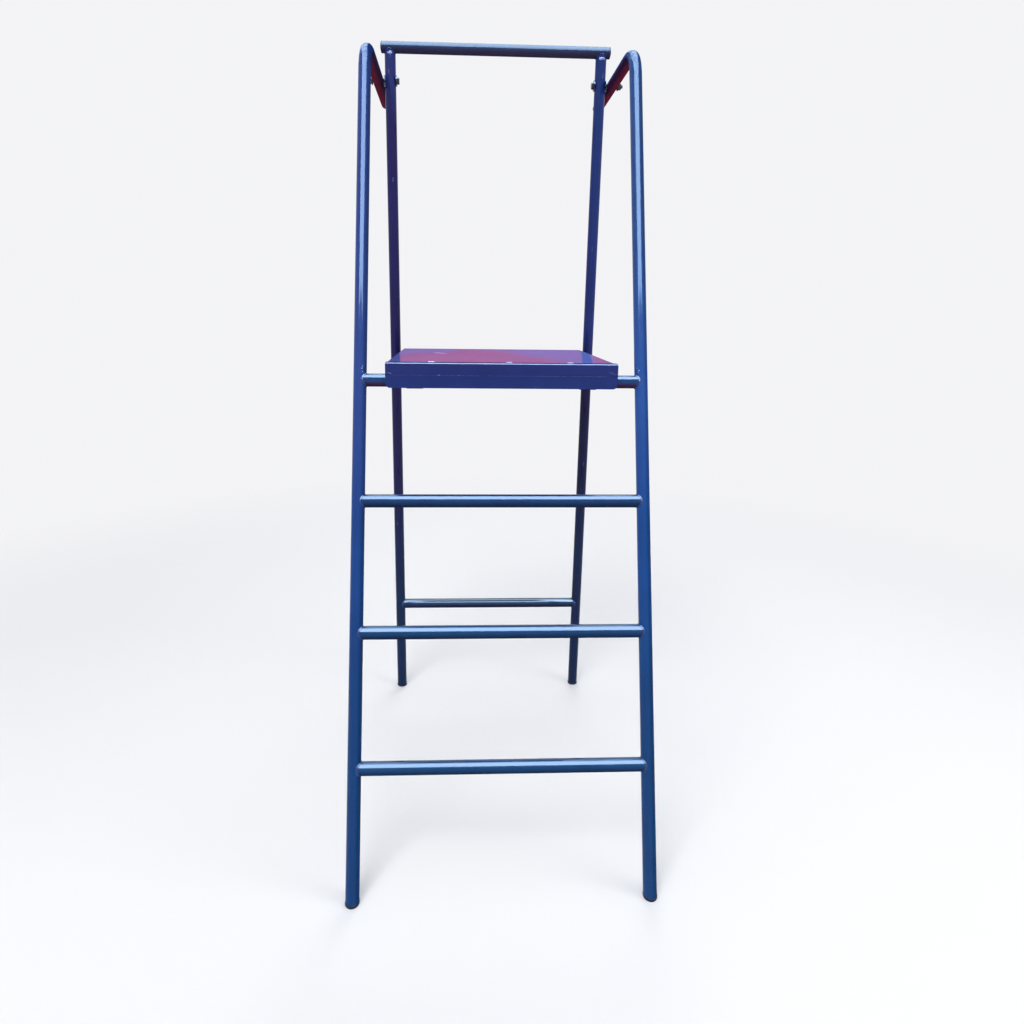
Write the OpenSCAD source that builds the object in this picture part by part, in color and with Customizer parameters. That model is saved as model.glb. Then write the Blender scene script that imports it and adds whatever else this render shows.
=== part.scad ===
// Volleyball referee chair: a folding steel stand in blue enamel.
// A ladder with bent guard arms carries the seat rung. A rear frame hangs from
// bolts in the arms, and the seat hooks over a bar of that frame to lock it open.
// X runs across the chair, +Y towards the back, +Z up, origin on the floor under
// the middle of the chair.

/* [Tubes] */
// Outside diameter of every tube
tube_od = 32; // [28:0.5:36]
// Wall of every tube
tube_wall = 2; // [1.5:0.1:3]
// Radius of the tube's centre line where a stile bends into its arm
bend_radius = 80; // [60:5:110]
// Loss of tube radius in the bend
bend_draw = 0.3; // [0.25:0.05:0.5]
// Length of straight tube that laps over the bend
bend_lap = 2; // [1:0.5:2]

/* [Ladder] */
// Distance between the centre lines of the two stiles
ladder_width = 690; // [640:2:760]
// Backward lean of the stiles from upright, in degrees
ladder_lean = 16.6; // [12:0.1:20]
// Height of the corner where the centre lines of stile and guard arm would meet
arm_height = 1992; // [1900:1:2080]
// Fall of the guard arms towards the back, in degrees
arm_fall = 1.5; // [0:0.1:4]
// Distance from the corner of stile and arm to the pivot bolt
arm_reach = 281; // [240:1:330]
// Length of arm behind the pivot bolt
arm_tail = 215; // [120:1:260]
// Height of the bottom rung's centre line
bottom_rung_height = 287; // [250:1:320]
// Rise from one rung to the next
rung_rise = 298; // [270:1:310]
// Height of the seat rung's centre line
seat_rung_height = 1164; // [1120:1:1220]

/* [Rear frame] */
// Backward lean of the rear feet from upright, in degrees
rear_lean = 1.5; // [0.5:0.1:4]
// Rise from the pivot bolts to the top bar's centre line
top_bar_rise = 89; // [70:1:120]
// Length of top bar beyond each upright's centre line
top_bar_overhang = 23; // [17:0.5:30]
// Height of the lower rear bar's centre line
rear_bar_height = 319; // [260:1:400]

/* [Seat] */
// Room between the pan and each upright
seat_room = 10.5; // [8:0.5:30]
// Thickness of the seat pan's sheet
seat_sheet = 2; // [1.2:0.1:3]
// Depth of the pan's turned-down lips
seat_lip = 27; // [22:0.5:34]
// Radius of the pan's corners seen from above
seat_corner = 7; // [4:0.5:14]
// Radius of the fold along the pan's edges
seat_fold = 3.5; // [3.2:0.1:5]
// Depth of the front apron
apron_drop = 61; // [50:1:75]
// Thickness of the apron's sheet
apron_sheet = 1.5; // [1:0.1:2.5]
// Width of the apron's flange on top of the pan
apron_flange = 26; // [18:1:40]
// Radius of the apron's lower corners
apron_corner = 11; // [6:0.5:18]
// Step in the apron's face below the pan's lip
apron_joggle = 1; // [0.5:0.1:1.5]
// Inner radius of the fold along the apron's top
apron_fold = 1.5; // [0.5:0.1:2.5]
// Inset of the apron's ends from the pan's sides
apron_inset = 1; // [0.5:0.1:4]
// Leg and thickness of the angle bars under the pan
runner_leg = 22; // [16:1:30]
runner_wall = 3; // [2:0.5:4]
// Distance of each angle bar from the pan's side
runner_inset = 162.5; // [130:2.5:200]

/* [Seat hinge and hooks] */
// Distance of the hinge brackets and hooks from the pan's sides
hinge_inset = 70.5; // [50:0.5:95]
// Length of a hinge sleeve along the rung
sleeve_length = 40; // [30:1:60]
// Wall of a hinge sleeve
sleeve_wall = 4; // [3:0.5:5]
// Thickness of the hinge bracket's web
web_thickness = 6; // [4:0.5:10]
// Room between hinge sleeve and apron
apron_room = 2.5; // [2:0.5:6]
// Width of a seat hook
hook_width = 30; // [20:1:40]
// Thickness of a seat hook
hook_thickness = 5; // [3:0.5:6]
// Distance from the pan's rear lip to the centre line of the bar it hooks over
hook_tab = 11.5; // [8:0.5:30]
// Reach of a hook below the bar's centre line
hook_drop = 15; // [8:1:22]

/* [Pivot hardware] */
// Diameter of the pivot bolts
bolt_d = 10; // [8:1:12]
// Width across the flats of bolt heads and nuts
hex_flats = 17; // [16:1:19]
// Height of a bolt head
head_height = 7; // [5:0.5:9]
// Height of a nut
nut_height = 8.4; // [6:0.2:10]
// Length of bolt beyond the nut
bolt_tip = 4.5; // [2:0.5:8]
// Diameter of the washers next to the uprights
wide_washer_d = 30; // [24:1:32]
// Diameter of the washers under the nuts
nut_washer_d = 24; // [20:1:30]
// Thickness of the washers between arms and uprights
spacer_thickness = 3.4; // [2:0.1:8]
// Thickness of the washers under heads and nuts
washer_thickness = 2.5; // [1.5:0.1:3]

/* [End plugs] */
// Height of a foot plug's rim
foot_rim = 7; // [4:0.5:12]
// Thickness of the rim on the other plugs
plug_rim = 2; // [1.5:0.5:5]
// Height of the dome on their outer face
plug_dome = 3; // [1:0.5:5]
// Length of a plug inside its tube
plug_length = 22; // [12:1:30]

/* [Fits] */
// Gap at rest between pieces that bear on each other
rest_gap = 0.3; // [0.2:0.05:0.5]
// Diameter of the cut that notches the end of a tube to sit against another one
notch_d = 40; // [36:1:60]
// Gap in a notched joint before it is welded
weld_gap = 0.1; // [0.05:0.01:0.2]
// Radial clearance between a shaft and its hole
running_gap = 0.07; // [0.03:0.01:0.1]
// Radial clearance of a plug in its tube
plug_gap = 0.15; // [0.05:0.05:0.4]

/* [Hidden] */
$fn = 96;

left = -1;
right = 1;
cut = 1;
tube_r = tube_od / 2;
bore_r = tube_r - tube_wall;
stile_x = ladder_width / 2;
notch_r = notch_d / 2 + weld_gap;
notch_shift = (notch_d - tube_od) / 2;

// The rear frame fits between the arms, and the seat between the uprights
upright_x = stile_x - tube_od - spacer_thickness - 2 * rest_gap;
rear_width = 2 * upright_x;
seat_width = rear_width - tube_od - 2 * seat_room;

// Runs from the front feet towards the back
corner_run = arm_height * tan(ladder_lean);
pivot_run = corner_run + arm_reach * cos(arm_fall);
pivot_z = arm_height - arm_reach * sin(arm_fall);
rear_foot_run = pivot_run + pivot_z * tan(rear_lean);
arm_end_run = corner_run + (arm_reach + arm_tail) * cos(arm_fall);
arm_end_z = arm_height - (arm_reach + arm_tail) * sin(arm_fall);

// The front feet's toes and the rearmost point are equally far from the origin
toe = tube_r / cos(ladder_lean);
heel = tube_r / cos(rear_lean);
plug_height = plug_rim + plug_dome;
back_run = max(rear_foot_run + heel, arm_end_run + plug_height * cos(arm_fall));
front_foot_y = (toe - back_run) / 2;
rear_foot_y = front_foot_y + rear_foot_run;
pivot_y = front_foot_y + pivot_run;
arm_end_y = front_foot_y + arm_end_run;

// The bend between stile and arm
bend_turn = 90 - ladder_lean + arm_fall;
bend_tangent = bend_radius * tan(bend_turn / 2);
leg_length = arm_height / cos(ladder_lean) - bend_tangent;
bend_foot_y = front_foot_y + leg_length * sin(ladder_lean);
bend_foot_z = leg_length * cos(ladder_lean);
arm_length = arm_reach - bend_tangent + arm_tail;

// Places on the ladder and on the rear frame at a given height
function stile_y(height) = front_foot_y + height * tan(ladder_lean);
function upright_y(height) = rear_foot_y - height * tan(rear_lean);
seat_rung_y = stile_y(seat_rung_height);
seat_bar_y = upright_y(seat_rung_height);
top_bar_height = pivot_z + top_bar_rise;
top_bar_length = rear_width + 2 * top_bar_overhang;

// The seat rests on the seat rung and, through its hooks, on the rear seat bar
sleeve_r = tube_r + running_gap + sleeve_wall;
lip_z = seat_rung_height + tube_r + rest_gap;
pan_top = lip_z + seat_lip;
pan_under = pan_top - seat_sheet;
pan_front = seat_rung_y - sleeve_r - apron_room;
pan_rear = seat_bar_y - hook_tab;
seat_depth = pan_rear - pan_front;
hinge_spacing = seat_width / 2 - hinge_inset;
runner_spacing = seat_width / 2 - runner_inset;
apron_width = seat_width - 2 * apron_inset;
apron_top = pan_top + apron_sheet;
apron_bottom = apron_top - apron_drop;

// Stack of the pivot hardware, measured outwards from the middle of the chair
upright_inner = upright_x - tube_r;
upright_outer = upright_x + tube_r;
arm_inner = stile_x - tube_r;
arm_outer = stile_x + tube_r;
head_washer_x = upright_inner - rest_gap - washer_thickness;
head_x = head_washer_x - head_height;
spacer_x = upright_outer + rest_gap;
nut_washer_x = arm_outer + rest_gap;
nut_x = nut_washer_x + washer_thickness;
bolt_end = nut_x + nut_height + bolt_tip;
bolt_hole_d = bolt_d + 2 * running_gap;
hex_corners = hex_flats / cos(30);
hex_land_r = 0.47 * hex_flats;
hex_slope = 1 / tan(30);
tip_chamfer = 1;
dome_radius = (tube_r * tube_r + plug_dome * plug_dome) / (2 * plug_dome);

frame_blue = [0.12, 0.27, 0.52];
rear_blue = [0.14, 0.18, 0.38];
seat_blue = [0.16, 0.20, 0.48];
plug_grey = [0.10, 0.11, 0.14];
zinc = [0.55, 0.57, 0.60];

// A cylinder along X from one distance to another on the given side
module along_x(side, from, length, d, y, z) {
    translate([side * from, y, z])
        rotate([0, side * 90, 0])
            cylinder(d = d, h = length);
}

// Everything between two heights
module slab(low, high) {
    translate([-arm_height, -arm_height, low])
        cube([2 * arm_height, 2 * arm_height, high - low]);
}

// The path of a stile and its guard arm as one round bar, laid out from the foot of the bend.
// Bending draws the tube down a little, and the straight runs lap over that narrower stretch.
module bent_bar(side, r, over) {
    translate([side * stile_x, bend_foot_y, bend_foot_z])
        rotate([-ladder_lean, 0, 0]) {
            translate([0, 0, bend_lap])
                mirror([0, 0, 1])
                    cylinder(r = r, h = leg_length + bend_lap + over);
            translate([0, bend_radius, 0])
                rotate([90, 0, 90])
                    rotate([0, 0, 180 - bend_turn]) {
                        rotate_extrude(angle = bend_turn)
                            translate([bend_radius, 0])
                                circle(r = r - bend_draw);
                        translate([bend_radius, bend_lap, 0])
                            rotate([90, 0, 0])
                                cylinder(r = r, h = arm_length + bend_lap + over);
                    }
        }
}

// The end of a guard arm, with +Y along the arm
module at_arm_end(side) {
    translate([side * stile_x, arm_end_y, arm_end_z])
        rotate([-arm_fall, 0, 0])
            children();
}

module stile(side) {
    difference() {
        bent_bar(side, tube_r, tube_od);
        bent_bar(side, bore_r, 2 * tube_od);
        slab(-3 * tube_od, foot_rim);
        at_arm_end(side)
            translate([-tube_od, 0, -tube_od])
                cube([2 * tube_od, 3 * tube_od, 2 * tube_od]);
        along_x(side, arm_inner - cut, tube_od + 2 * cut, bolt_hole_d, pivot_y, pivot_z);
    }
}

// A rung between the stiles, its ends notched to sit against them
module rung(height) {
    y = stile_y(height);
    difference() {
        along_x(left, -stile_x, ladder_width, tube_od, y, height);
        along_x(left, -stile_x - cut, ladder_width + 2 * cut, 2 * bore_r, y, height);
        for (side = [left, right])
            translate([side * (stile_x + notch_shift), y, height])
                rotate([-ladder_lean, 0, 0])
                    cylinder(r = notch_r, h = 4 * tube_od, center = true);
    }
}

// A bar between the uprights, its ends notched to sit against them
module rear_bar(height) {
    y = upright_y(height);
    difference() {
        along_x(left, -upright_x, rear_width, tube_od, y, height);
        along_x(left, -upright_x - cut, rear_width + 2 * cut, 2 * bore_r, y, height);
        for (side = [left, right])
            translate([side * (upright_x + notch_shift), y, height])
                rotate([rear_lean, 0, 0])
                    cylinder(r = notch_r, h = 4 * tube_od, center = true);
    }
}

// A round bar along an upright's line
module upright_bar(side, r, over) {
    translate([side * upright_x, rear_foot_y, 0])
        rotate([rear_lean, 0, 0])
            translate([0, 0, -over])
                cylinder(r = r, h = top_bar_height / cos(rear_lean) + over);
}

module upright(side) {
    difference() {
        upright_bar(side, tube_r, tube_od);
        upright_bar(side, bore_r, 2 * tube_od);
        slab(-3 * tube_od, foot_rim);
        along_x(side, upright_inner - cut, tube_od + 2 * cut, bolt_hole_d, pivot_y, pivot_z);
        translate([0, upright_y(top_bar_height), top_bar_height])
            rotate([rear_lean, 0, 0])
                along_x(left, -upright_x - tube_od, rear_width + 2 * tube_od,
                    2 * notch_r, 0, notch_shift);
    }
}

module top_bar() {
    color(rear_blue)
        difference() {
            along_x(left, -top_bar_length / 2, top_bar_length, tube_od,
                upright_y(top_bar_height), top_bar_height);
            along_x(left, -top_bar_length / 2 - cut, top_bar_length + 2 * cut, 2 * bore_r,
                upright_y(top_bar_height), top_bar_height);
        }
}

// Half the section of a plug: shank upwards from y = 0, rim and dome below
module plug_section() {
    square([bore_r - plug_gap, plug_length]);
    translate([0, -plug_rim]) square([tube_r, plug_rim]);
    intersection() {
        translate([0, dome_radius - plug_height]) circle(r = dome_radius);
        translate([0, -plug_height]) square([tube_r, plug_dome]);
    }
}

// A plug standing on z = 0 with its shank pointing up
module plug() {
    rotate_extrude()
        plug_section();
}

module top_bar_plugs() {
    color(plug_grey)
        for (side = [left, right])
            translate([side * top_bar_length / 2, upright_y(top_bar_height), top_bar_height])
                rotate([0, -side * 90, 0])
                    plug();
}

module arm_plug(side) {
    color(plug_grey)
        at_arm_end(side)
            rotate([90, 0, 0])
                plug();
}

// Foot plugs: the rim continues the tube to the floor, the shank fills its end
module front_foot(side) {
    color(plug_grey) {
        intersection() {
            bent_bar(side, tube_r, tube_od);
            slab(0, foot_rim);
        }
        intersection() {
            bent_bar(side, bore_r - plug_gap, tube_od);
            slab(foot_rim, foot_rim + plug_length);
        }
    }
}

module rear_foot(side) {
    color(plug_grey) {
        intersection() {
            upright_bar(side, tube_r, tube_od);
            slab(0, foot_rim);
        }
        intersection() {
            upright_bar(side, bore_r - plug_gap, tube_od);
            slab(foot_rim, foot_rim + plug_length);
        }
    }
}

// A hexagon on the pivot's axis with its corners turned off at the end where it starts.
// It runs away from the middle of the chair or, with the sign -1, towards it.
module hex_block(side, from, height, sign) {
    translate([side * from, pivot_y, pivot_z])
        rotate([0, sign * side * 90, 0])
            intersection() {
                cylinder(d = hex_corners, h = height, $fn = 6);
                cylinder(r1 = hex_land_r, r2 = hex_land_r + hex_slope * height, h = height);
            }
}

// Pivot hardware, the same on both sides
module pivot_bolts() {
    color(zinc)
        for (side = [left, right]) {
            hex_block(side, head_x, head_height, 1);
            along_x(side, head_x, bolt_end - head_x - tip_chamfer, bolt_d, pivot_y, pivot_z);
            translate([side * (bolt_end - tip_chamfer), pivot_y, pivot_z])
                rotate([0, side * 90, 0])
                    cylinder(d1 = bolt_d, d2 = bolt_d - 2 * tip_chamfer, h = tip_chamfer);
        }
}

module washer_pair(from, thickness, d) {
    for (side = [left, right])
        difference() {
            along_x(side, from, thickness, d, pivot_y, pivot_z);
            along_x(side, from - cut, thickness + 2 * cut, bolt_hole_d, pivot_y, pivot_z);
        }
}

module head_washers() {
    color(rear_blue) washer_pair(head_washer_x, washer_thickness, wide_washer_d);
}

module spacer_washers() {
    color(rear_blue) washer_pair(spacer_x, spacer_thickness, wide_washer_d);
}

module nut_washers() {
    color(zinc) washer_pair(nut_washer_x, washer_thickness, nut_washer_d);
}

module pivot_nuts() {
    color(zinc)
        for (side = [left, right])
            difference() {
                hex_block(side, nut_x + nut_height, nut_height, -1);
                along_x(side, nut_x - cut, nut_height + 2 * cut, bolt_hole_d, pivot_y, pivot_z);
            }
}

// A rectangle from one corner with its own corners rounded
module rounded_rect(w, h, r) {
    translate([r, 0]) square([w - 2 * r, h]);
    translate([0, r]) square([w, h - 2 * r]);
    for (x = [r, w - r], y = [r, h - r])
        translate([x, y]) circle(r = r);
}

// A rectangle whose two upper corners are rounded
module round_top_rect(w, h, r) {
    translate([r, 0]) square([w - 2 * r, h]);
    square([w, h - r]);
    for (x = [r, w - r])
        translate([x, h - r]) circle(r = r);
}

// A block with rounded upper edges and rounded corners seen from above
module tray_block(w, d, h, corner, fold) {
    intersection() {
        linear_extrude(h) rounded_rect(w, d, corner);
        translate([0, d, 0]) rotate([90, 0, 0]) linear_extrude(d) round_top_rect(w, h, fold);
        rotate([90, 0, 90]) linear_extrude(w) round_top_rect(d, h, fold);
    }
}

module seat_pan() {
    color(seat_blue)
        translate([-seat_width / 2, pan_front, lip_z])
            difference() {
                tray_block(seat_width, seat_depth, seat_lip, seat_corner, seat_fold);
                translate([seat_sheet, seat_sheet, -cut])
                    tray_block(seat_width - 2 * seat_sheet, seat_depth - 2 * seat_sheet,
                        seat_lip - seat_sheet + cut, seat_corner - seat_sheet,
                        seat_fold - seat_sheet / 2);
            }
}

// What rounding takes off an upper left corner at the origin
module corner_waste(r) {
    difference() {
        translate([-cut, -r]) square([r + cut, r + cut]);
        translate([r, -r]) circle(r = r);
    }
}

// The apron's section: flange on the pan, fold, face down the lip, a step, then the drop
module apron_section() {
    face = pan_front - apron_sheet;
    difference() {
        polygon([
            [face, apron_top],
            [face, lip_z],
            [face + apron_joggle, lip_z - apron_joggle],
            [face + apron_joggle, apron_bottom],
            [pan_front + apron_joggle, apron_bottom],
            [pan_front + apron_joggle, lip_z - apron_joggle],
            [pan_front, lip_z],
            [pan_front, pan_top],
            [pan_front + apron_flange, pan_top],
            [pan_front + apron_flange, apron_top]
        ]);
        translate([face, apron_top]) corner_waste(apron_sheet + apron_fold);
    }
    intersection() {
        translate([pan_front, pan_top]) corner_waste(apron_fold);
        translate([pan_front - cut / 2, pan_top - apron_fold]) square(apron_fold + cut);
    }
}

module front_apron() {
    color(seat_blue)
        intersection() {
            translate([-apron_width / 2, 0, 0])
                rotate([90, 0, 90])
                    linear_extrude(apron_width)
                        apron_section();
            translate([-apron_width / 2, pan_front + 2 * apron_flange, apron_bottom])
                rotate([90, 0, 0])
                    linear_extrude(3 * apron_flange)
                        rounded_apron_face();
        }
}

// The apron seen from the front, with its lower corners rounded
module rounded_apron_face() {
    translate([apron_corner, 0]) square([apron_width - 2 * apron_corner, apron_drop]);
    translate([0, apron_corner]) square([apron_width, apron_drop - apron_corner]);
    for (x = [apron_corner, apron_width - apron_corner])
        translate([x, apron_corner]) circle(r = apron_corner);
}

// An angle bar under the pan, one leg against the sheet, its ends clear of the pan's folds
module runner(side) {
    end = seat_sheet + seat_fold;
    length = seat_depth - 2 * end;
    height = min(runner_leg, seat_lip - seat_sheet);
    color(seat_blue)
        translate([side * runner_spacing, pan_front + end, pan_under])
            mirror([side < 0 ? 1 : 0, 0, 0])
                rotate([-90, 0, 0])
                    linear_extrude(length) {
                        square([runner_leg, runner_wall]);
                        square([runner_wall, height]);
                    }
}

// A sleeve that turns on the seat rung, with a web up to the pan
module hinge_bracket(side) {
    start = hinge_spacing - sleeve_length / 2;
    color(seat_blue)
        difference() {
            union() {
                along_x(side, start, sleeve_length, 2 * sleeve_r, seat_rung_y, seat_rung_height);
                translate([side * hinge_spacing - sleeve_length / 2,
                    seat_rung_y - web_thickness / 2, seat_rung_height])
                    cube([sleeve_length, web_thickness, pan_under - seat_rung_height]);
            }
            along_x(side, start - cut, sleeve_length + 2 * cut,
                tube_od + 2 * running_gap, seat_rung_y, seat_rung_height);
        }
}

// A hook's side view: tab on the rear lip, arm over the bar, tail down behind it
module hook_section() {
    inner = tube_r + rest_gap;
    outer = inner + hook_thickness;
    intersection() {
        difference() {
            circle(r = outer);
            circle(r = inner);
        }
        square(outer);
    }
    translate([inner, -hook_drop]) square([hook_thickness, hook_drop]);
    translate([-hook_tab, inner]) square([hook_tab, hook_thickness]);
    translate([-hook_tab, inner]) square([hook_thickness, seat_lip - seat_fold]);
}

module seat_hook(side) {
    color(seat_blue)
        translate([side * hinge_spacing - hook_width / 2, seat_bar_y, seat_rung_height])
            rotate([90, 0, 90])
                linear_extrude(hook_width)
                    hook_section();
}

color(frame_blue) stile(left);  // left_stile
color(frame_blue) stile(right);  // right_stile
color(frame_blue) rung(bottom_rung_height);  // bottom_rung
color(frame_blue) rung(bottom_rung_height + rung_rise);  // lower_rung
color(frame_blue) rung(bottom_rung_height + 2 * rung_rise);  // upper_rung
color(frame_blue) rung(seat_rung_height);  // seat_rung
front_foot(left);  // left_front_foot
front_foot(right);  // right_front_foot
arm_plug(left);  // left_arm_plug
arm_plug(right);  // right_arm_plug
color(rear_blue) upright(left);  // left_upright
color(rear_blue) upright(right);  // right_upright
top_bar();
top_bar_plugs();
color(rear_blue) rear_bar(seat_rung_height);  // rear_seat_bar
color(rear_blue) rear_bar(rear_bar_height);  // rear_lower_bar
rear_foot(left);  // left_rear_foot
rear_foot(right);  // right_rear_foot
pivot_bolts();
head_washers();
spacer_washers();
nut_washers();
pivot_nuts();
seat_pan();
front_apron();
runner(left);  // left_runner
runner(right);  // right_runner
hinge_bracket(left);  // left_hinge_bracket
hinge_bracket(right);  // right_hinge_bracket
seat_hook(left);  // left_seat_hook
seat_hook(right);  // right_seat_hook
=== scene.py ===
# Volleyball referee chair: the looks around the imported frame, in metres, +Z up
import math
import random

import bpy
from mathutils import Matrix, Vector


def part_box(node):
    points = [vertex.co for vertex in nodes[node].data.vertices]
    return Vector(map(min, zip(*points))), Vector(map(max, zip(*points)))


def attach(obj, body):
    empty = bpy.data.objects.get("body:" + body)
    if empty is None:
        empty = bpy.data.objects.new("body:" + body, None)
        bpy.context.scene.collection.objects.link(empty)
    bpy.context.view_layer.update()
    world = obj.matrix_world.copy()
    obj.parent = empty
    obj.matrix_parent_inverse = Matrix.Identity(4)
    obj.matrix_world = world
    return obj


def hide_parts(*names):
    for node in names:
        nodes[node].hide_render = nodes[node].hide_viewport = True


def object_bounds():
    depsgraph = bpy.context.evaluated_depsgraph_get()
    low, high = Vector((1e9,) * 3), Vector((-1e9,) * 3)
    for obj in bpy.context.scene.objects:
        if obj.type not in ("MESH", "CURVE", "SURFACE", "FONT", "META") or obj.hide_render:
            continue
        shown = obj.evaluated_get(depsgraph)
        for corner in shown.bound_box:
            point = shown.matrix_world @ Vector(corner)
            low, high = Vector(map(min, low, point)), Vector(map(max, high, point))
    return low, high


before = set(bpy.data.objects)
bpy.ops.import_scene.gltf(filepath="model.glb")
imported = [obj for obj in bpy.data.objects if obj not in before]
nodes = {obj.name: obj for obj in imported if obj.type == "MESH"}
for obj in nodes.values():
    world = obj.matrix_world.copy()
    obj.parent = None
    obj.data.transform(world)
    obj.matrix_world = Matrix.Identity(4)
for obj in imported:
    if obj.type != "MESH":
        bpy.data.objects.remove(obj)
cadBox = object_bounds()
scene = bpy.context.scene
scene.view_settings.view_transform = "Standard"
print("frame loaded with", len(nodes), "nodes")


# Camera

shot = {
    "place": (-0.0983, -1.8680, 1.347),
    "pitchDown": 12.15,  # degrees
    "yawRight": 2.45,
    "roll": 0.7,
    "focalPixels": 685,
    "centrePixels": (490, 452),  # where the optical axis meets the picture
    "picturePixels": 1024,
    "sensor": 36.0,  # mm
    "nearest": 0.05,
}


def makeCamera(shot):
    pitch = math.radians(shot["pitchDown"])
    yaw = math.radians(shot["yawRight"])
    roll = math.radians(shot["roll"])
    ahead = Vector((math.sin(yaw) * math.cos(pitch), math.cos(yaw) * math.cos(pitch), -math.sin(pitch)))
    level = Vector((math.cos(yaw), -math.sin(yaw), 0))
    above = level.cross(ahead)
    right = math.cos(roll) * level + math.sin(roll) * above
    up = math.cos(roll) * above - math.sin(roll) * level
    turn = Matrix((right, up, -ahead)).transposed().to_4x4()
    bpy.ops.object.camera_add()
    camera = bpy.context.object
    camera.name = "camera"
    camera.matrix_world = Matrix.Translation(shot["place"]) @ turn
    size = shot["picturePixels"]
    camera.data.sensor_width = shot["sensor"]
    camera.data.lens = shot["focalPixels"] / size * shot["sensor"]
    camera.data.shift_x = (size / 2 - shot["centrePixels"][0]) / size
    camera.data.shift_y = (shot["centrePixels"][1] - size / 2) / size
    camera.data.clip_start = shot["nearest"]
    scene.camera = camera


makeCamera(shot)
print("camera set")


# Sizes taken from the frame

sides = ((-1, "left"), (1, "right"))  # way out in x, and the word in the names
tubeRadius = (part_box("lower_rung")[1].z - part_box("lower_rung")[0].z) / 2
stileX = (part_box("right_stile")[0].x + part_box("right_stile")[1].x) / 2
uprightX = (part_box("right_upright")[0].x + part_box("right_upright")[1].x) / 2


def middle(node):
    low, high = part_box(node)
    return (low + high) / 2


def axisBetween(lower, upper):  # unit vector in the YZ plane from one bar's centre to another's
    way = middle(upper) - middle(lower)
    way.x = 0
    return way.normalized()


stileAxis = axisBetween("bottom_rung", "seat_rung")
uprightAxis = axisBetween("rear_lower_bar", "rear_seat_bar")
pivot = middle("pivot_bolts")
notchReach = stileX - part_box("lower_rung")[1].x  # from a stile's centre line to the tip of a notched rung
notchShift = notchReach ** 2 / (2 * (tubeRadius - notchReach))  # the notch's centre beyond that line


# Shader maths

class Wire:  # a socket that can be used in sums
    def __init__(self, tree, socket):
        self.tree = tree
        self.socket = socket

    def sum(self, operation, first, second=0.0):
        return self.tree.add("ShaderNodeMath", {"operation": operation}, {0: first, 1: second})

    def __add__(self, other):
        return self.sum("ADD", self, other)

    def __radd__(self, other):
        return self.sum("ADD", other, self)

    def __sub__(self, other):
        return self.sum("SUBTRACT", self, other)

    def __rsub__(self, other):
        return self.sum("SUBTRACT", other, self)

    def __mul__(self, other):
        return self.sum("MULTIPLY", self, other)

    def __rmul__(self, other):
        return self.sum("MULTIPLY", other, self)

    def __pow__(self, other):
        return self.sum("POWER", self, other)

    def __rpow__(self, other):
        return self.sum("POWER", other, self)

    def __abs__(self):
        return self.sum("ABSOLUTE", self)

    def atLeast(self, limit):
        return self.sum("MAXIMUM", self, limit)

    def atMost(self, limit):
        return self.sum("MINIMUM", self, limit)


class Tree:  # the nodes of one material or of the world
    def __init__(self, owner):
        owner.use_nodes = True
        self.nodes = owner.node_tree.nodes
        self.links = owner.node_tree.links
        self.nodes.clear()

    def add(self, kind, settings=None, inputs=None, output=0):
        made = self.nodes.new(kind)
        for name, value in (settings or {}).items():
            if name == "stops":
                self.setStops(made.color_ramp, value)
            else:
                setattr(made, name, value)
        for name, value in (inputs or {}).items():
            if isinstance(value, Wire):
                self.links.new(value.socket, made.inputs[name])
            else:
                made.inputs[name].default_value = value
        return Wire(self, made.outputs[output]) if made.outputs else None

    def setStops(self, ramp, stops):
        ramp.interpolation = "EASE"
        while len(ramp.elements) < len(stops):
            ramp.elements.new(1)
        for element, (place, colour) in zip(ramp.elements, stops):
            element.position = place
            element.color = (*colour, 1)

    def rise(self, value, low, high):  # 0 below low, 1 above high, smooth between
        settings = {"interpolation_type": "SMOOTHSTEP"}
        return self.add("ShaderNodeMapRange", settings, {"Value": value, 1: low, 2: high})

    def blend(self, factor, first, second):
        first = first if isinstance(first, Wire) else (*first, 1)
        second = second if isinstance(second, Wire) else (*second, 1)
        settings = {"data_type": "RGBA"}
        return self.add("ShaderNodeMix", settings, {0: factor, 6: first, 7: second}, output=2)

    def noise(self, place, scale, detail, roughness=0.5):  # lumps per metre
        if isinstance(scale, tuple):  # a scale for each axis
            place = self.add("ShaderNodeVectorMath", {"operation": "MULTIPLY"}, {0: place, 1: scale})
            scale = 1.0
        inputs = {"Vector": place, "Scale": scale, "Detail": detail, "Roughness": roughness}
        return self.add("ShaderNodeTexNoise", None, inputs)

    def patches(self, place, scale, detail, roughness, low, high):  # noise that rises between two levels
        return self.rise(self.noise(place, scale, detail, roughness), low, high)

    def part(self, vector, axis):
        return self.add("ShaderNodeSeparateXYZ", None, {0: vector}, output=axis)

    def bump(self, height, strength, distance, normal=None):
        inputs = {"Height": height, "Strength": strength, "Distance": distance}
        if normal:
            inputs["Normal"] = normal
        return self.add("ShaderNodeBump", None, inputs)

    def shader(self, settings):
        return self.add("ShaderNodeBsdfPrincipled", None, settings)

    def mixShaders(self, factor, first, second):
        return self.add("ShaderNodeMixShader", None, {0: factor, 1: first, 2: second})

    def finish(self, surface):
        self.add("ShaderNodeOutputMaterial", None, {"Surface": surface})


# Enamel of the frame and the seat

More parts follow.
